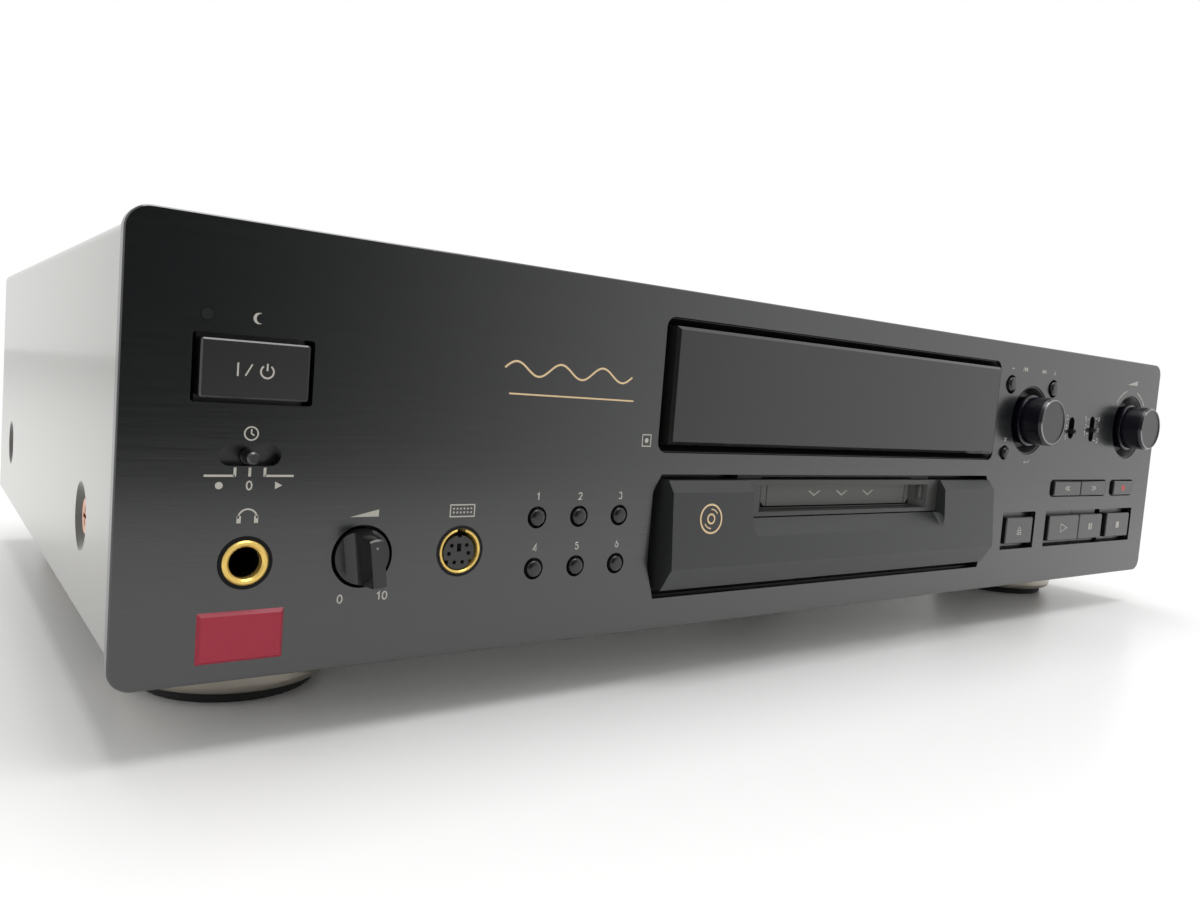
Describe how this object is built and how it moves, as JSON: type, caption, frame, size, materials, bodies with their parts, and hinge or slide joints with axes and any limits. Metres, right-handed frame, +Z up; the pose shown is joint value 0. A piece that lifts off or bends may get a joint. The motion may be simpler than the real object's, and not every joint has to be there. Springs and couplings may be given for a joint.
{
  "type": "minidisc deck",
  "caption": "Full-width black hi-fi minidisc deck with a brushed front plate, smoked display window, slot-loading disc bay, level knobs, small round buttons and flat transport keys.",
  "frame": {"origin": "on the ground, in the middle of the deck's bounding footprint", "axes": "+X to the right seen from the front, +Y from the front to the rear, +Z up"},
  "size_m": [0.43, 0.2722, 0.1097],
  "materials": {
    "front_plate": "brushed across, black anodised",
    "black_moulding": "fine matt moulding",
    "smoked_window": "polished, nearly opaque",
    "bezel_plastic": "fine satin moulding",
    "lamp_lens": "unlit dark red lens",
    "gold_ring": "gold plated",
    "red_badge": "glossy",
    "black_steel": "satin black paint",
    "copper_screw": "copper plated",
    "plated_steel": "zinc plated",
    "foot_metal": "satin champagne anodised",
    "foot_rubber": "matt",
    "jack_metal": "plated",
    "socket_plastic": "moulded",
    "laminated_iron": "lacquered laminations",
    "winding_tape": "taped",
    "circuit_board": "solder mask",
    "capacitor_sleeve": "shrink sleeve",
    "tube_glass": "sealed display tube",
    "motor_can": "drawn can",
    "bright_steel": "ground",
    "white_nylon": "moulded",
    "button_plastic": "fine satin",
    "knob_metal": "turned, black anodised"
  },
  "bodies": {
    "deck": {"front_panel": "front_plate", "front_frame": "black_moulding", "headphone_jack": "black_moulding", "keyboard_socket": "black_moulding", "slot_mouth": "black_moulding", "display_window": "smoked_window", "slot_bezel": "bezel_plastic", "standby_lens": "lamp_lens", "socket_rings": "gold_ring", "badge_plate": "red_badge", "top_cover": "black_steel", "rear_panel": "black_steel", "cover_screws": "copper_screw", "bottom_chassis": "plated_steel", "mech_frame": "plated_steel", "control_pots": "plated_steel", "feet": "foot_metal", "foot_pads": "foot_rubber", "line_jacks": "jack_metal", "optical_sockets": "socket_plastic", "mains_inlet": "socket_plastic", "transformer_core": "laminated_iron", "transformer_winding": "winding_tape", "main_board": "circuit_board", "control_board": "circuit_board", "smoothing_capacitors": "capacitor_sleeve", "display_tube": "tube_glass", "drive_motors": "motor_can", "guide_rods": "bright_steel"},
    "power_button": {"power_button": "button_plastic"},
    "pitch_button": {"pitch_button": "button_plastic"},
    "filter_button": {"filter_button": "button_plastic"},
    "time_button": {"time_button": "button_plastic"},
    "play_mode_button": {"play_mode_button": "button_plastic"},
    "scroll_button": {"scroll_button": "button_plastic"},
    "display_button": {"display_button": "button_plastic"},
    "menu_button": {"menu_button": "button_plastic"},
    "yes_button": {"yes_button": "button_plastic"},
    "clear_button": {"clear_button": "button_plastic"},
    "rewind_button": {"rewind_button": "button_plastic"},
    "forward_button": {"forward_button": "button_plastic"},
    "record_button": {"record_button": "button_plastic"},
    "eject_button": {"eject_button": "button_plastic"},
    "play_button": {"play_button": "button_plastic"},
    "pause_button": {"pause_button": "button_plastic"},
    "stop_button": {"stop_button": "button_plastic"},
    "timer_slider": {"timer_slider": "button_plastic"},
    "mode_slider": {"mode_slider": "button_plastic"},
    "input_slider": {"input_slider": "button_plastic"},
    "phones_knob": {"phones_knob": "button_plastic"},
    "record_level_knob": {"record_level_knob": "knob_metal"},
    "jog_rotor": {"jog_rotor": "bright_steel"},
    "jog_knob": {"jog_knob": "knob_metal"},
    "slot_shutter": {"slot_shutter": "black_moulding"},
    "disc_holder": {"disc_holder": "plated_steel"},
    "loading_gear": {"loading_gear": "white_nylon"},
    "turntable": {"turntable": "motor_can"},
    "optical_sled": {"optical_sled": "white_nylon"},
    "lead_screw": {"lead_screw": "bright_steel"},
    "head_arm": {"head_arm": "motor_can"}
  },
  "joints": [
    {"name": "power_press", "type": "slide", "parent": "deck", "child": "power_button", "axis": [0, 1, 0], "range_m": [0, 0.001], "stiffness_N_per_m": 200},
    {"name": "pitch_press", "type": "slide", "parent": "deck", "child": "pitch_button", "axis": [0, 1, 0], "range_m": [0, 0.001], "stiffness_N_per_m": 200},
    {"name": "filter_press", "type": "slide", "parent": "deck", "child": "filter_button", "axis": [0, 1, 0], "range_m": [0, 0.001], "stiffness_N_per_m": 200},
    {"name": "time_press", "type": "slide", "parent": "deck", "child": "time_button", "axis": [0, 1, 0], "range_m": [0, 0.001], "stiffness_N_per_m": 200},
    {"name": "play_mode_press", "type": "slide", "parent": "deck", "child": "play_mode_button", "axis": [0, 1, 0], "range_m": [0, 0.001], "stiffness_N_per_m": 200},
    {"name": "scroll_press", "type": "slide", "parent": "deck", "child": "scroll_button", "axis": [0, 1, 0], "range_m": [0, 0.001], "stiffness_N_per_m": 200},
    {"name": "display_press", "type": "slide", "parent": "deck", "child": "display_button", "axis": [0, 1, 0], "range_m": [0, 0.001], "stiffness_N_per_m": 200},
    {"name": "menu_press", "type": "slide", "parent": "deck", "child": "menu_button", "axis": [0, 1, 0], "range_m": [0, 0.001], "stiffness_N_per_m": 200},
    {"name": "yes_press", "type": "slide", "parent": "deck", "child": "yes_button", "axis": [0, 1, 0], "range_m": [0, 0.001], "stiffness_N_per_m": 200},
    {"name": "clear_press", "type": "slide", "parent": "deck", "child": "clear_button", "axis": [0, 1, 0], "range_m": [0, 0.001], "stiffness_N_per_m": 200},
    {"name": "rewind_press", "type": "slide", "parent": "deck", "child": "rewind_button", "axis": [0, 1, 0], "range_m": [0, 0.001], "stiffness_N_per_m": 200},
    {"name": "forward_press", "type": "slide", "parent": "deck", "child": "forward_button", "axis": [0, 1, 0], "range_m": [0, 0.001], "stiffness_N_per_m": 200},
    {"name": "record_press", "type": "slide", "parent": "deck", "child": "record_button", "axis": [0, 1, 0], "range_m": [0, 0.001], "stiffness_N_per_m": 200},
    {"name": "eject_press", "type": "slide", "parent": "deck", "child": "eject_button", "axis": [0, 1, 0], "range_m": [0, 0.001], "stiffness_N_per_m": 200},
    {"name": "play_press", "type": "slide", "parent": "deck", "child": "play_button", "axis": [0, 1, 0], "range_m": [0, 0.001], "stiffness_N_per_m": 200},
    {"name": "pause_press", "type": "slide", "parent": "deck", "child": "pause_button", "axis": [0, 1, 0], "range_m": [0, 0.001], "stiffness_N_per_m": 200},
    {"name": "stop_press", "type": "slide", "parent": "deck", "child": "stop_button", "axis": [0, 1, 0], "range_m": [0, 0.001], "stiffness_N_per_m": 200},
    {"name": "timer_slide", "type": "slide", "parent": "deck", "child": "timer_slider", "axis": [1, 0, 0], "range_m": [-0.003, 0.003]},
    {"name": "mode_slide", "type": "slide", "parent": "deck", "child": "mode_slider", "axis": [0, 0, 1], "range_m": [-0.0012, 0.0041]},
    {"name": "input_slide", "type": "slide", "parent": "deck", "child": "input_slider", "axis": [0, 0, 1], "range_m": [-0.003, 0.004]},
    {"name": "phones_level_turn", "type": "hinge", "parent": "deck", "child": "phones_knob", "pos_m": [-0.16465, -0.1264, 0.0403], "axis": [0, 1, 0], "range_deg": [-150, 150]},
    {"name": "record_level_turn", "type": "hinge", "parent": "deck", "child": "record_level_knob", "pos_m": [0.189, -0.1264, 0.0808], "axis": [0, 1, 0], "range_deg": [-150, 150]},
    {"name": "jog_turn", "type": "hinge", "parent": "deck", "child": "jog_rotor", "pos_m": [0.107, -0.1264, 0.0808], "axis": [0, 1, 0], "continuous": true},
    {"name": "jog_press", "type": "slide", "parent": "jog_rotor", "child": "jog_knob", "axis": [0, 1, 0], "range_m": [0, 0.0008], "stiffness_N_per_m": 300},
    {"name": "shutter_swing", "type": "hinge", "parent": "deck", "child": "slot_shutter", "pos_m": [0.0007, -0.1224, 0.0567], "axis": [1, 0, 0], "range_deg": [0, 88], "stiffness_Nm_per_rad": 0.0004, "springref_deg": -17.19},
    {"name": "holder_slide", "type": "slide", "parent": "deck", "child": "disc_holder", "axis": [0, 1, 0], "range_m": [0, 0.024]},
    {"name": "loading_gear_turn", "type": "hinge", "parent": "deck", "child": "loading_gear", "pos_m": [0.04805, -0.0664, 0.0495], "axis": [0, 0, 1], "range_deg": [-175, 0]},
    {"name": "turntable_spin", "type": "hinge", "parent": "deck", "child": "turntable", "pos_m": [0.0007, -0.0564, 0.0445], "axis": [0, 0, 1], "continuous": true},
    {"name": "sled_slide", "type": "slide", "parent": "deck", "child": "optical_sled", "axis": [0, 1, 0], "range_m": [0, 0.016]},
    {"name": "lead_screw_turn", "type": "hinge", "parent": "deck", "child": "lead_screw", "pos_m": [0.0287, -0.0499, 0.04], "axis": [0, 1, 0], "range_deg": [0, 965]},
    {"name": "head_arm_lift", "type": "hinge", "parent": "deck", "child": "head_arm", "pos_m": [0.0007, -0.0044, 0.062], "axis": [-1, 0, 0], "range_deg": [0, 8], "stiffness_Nm_per_rad": 0.002, "springref_deg": -17.19}
  ],
  "couplings": [
    {"joint": "loading_gear_turn", "follows": "holder_slide", "rad_per_m": -125},
    {"joint": "lead_screw_turn", "follows": "sled_slide", "rad_per_m": 1047.2}
  ]
}
